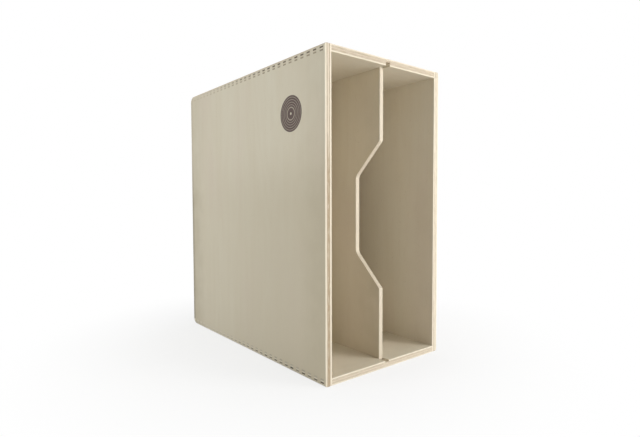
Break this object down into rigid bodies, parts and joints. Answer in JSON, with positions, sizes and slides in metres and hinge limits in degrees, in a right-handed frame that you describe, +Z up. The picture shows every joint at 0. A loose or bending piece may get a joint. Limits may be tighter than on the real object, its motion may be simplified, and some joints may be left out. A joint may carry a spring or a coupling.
{
  "type": "record storage box",
  "caption": "Upright plywood record box with an open front, finger-jointed corners and a sliding upright divider with a hand cut-out.",
  "frame": {"origin": "middle of the base, in the plane that the box stands on", "axes": "+Z up, the open front faces -Y, +X to the right seen from the front"},
  "size_m": [0.188, 0.332, 0.358],
  "materials": {
    "case_plywood": "sanded bare birch plywood, pale cream, upright face grain on the sides",
    "back_plywood": "sanded bare thin birch plywood",
    "divider_plywood": "sanded bare birch plywood, pale edges"
  },
  "bodies": {
    "case": {"left_side": "case_plywood", "right_side": "case_plywood", "top_panel": "case_plywood", "bottom_panel": "case_plywood", "back_panel": "back_plywood"},
    "sliding_divider": {"divider": "divider_plywood"}
  },
  "joints": [
    {"name": "divider_slide", "type": "slide", "parent": "case", "child": "sliding_divider", "axis": [0, -1, 0], "range_m": [0, 0.3]}
  ]
}
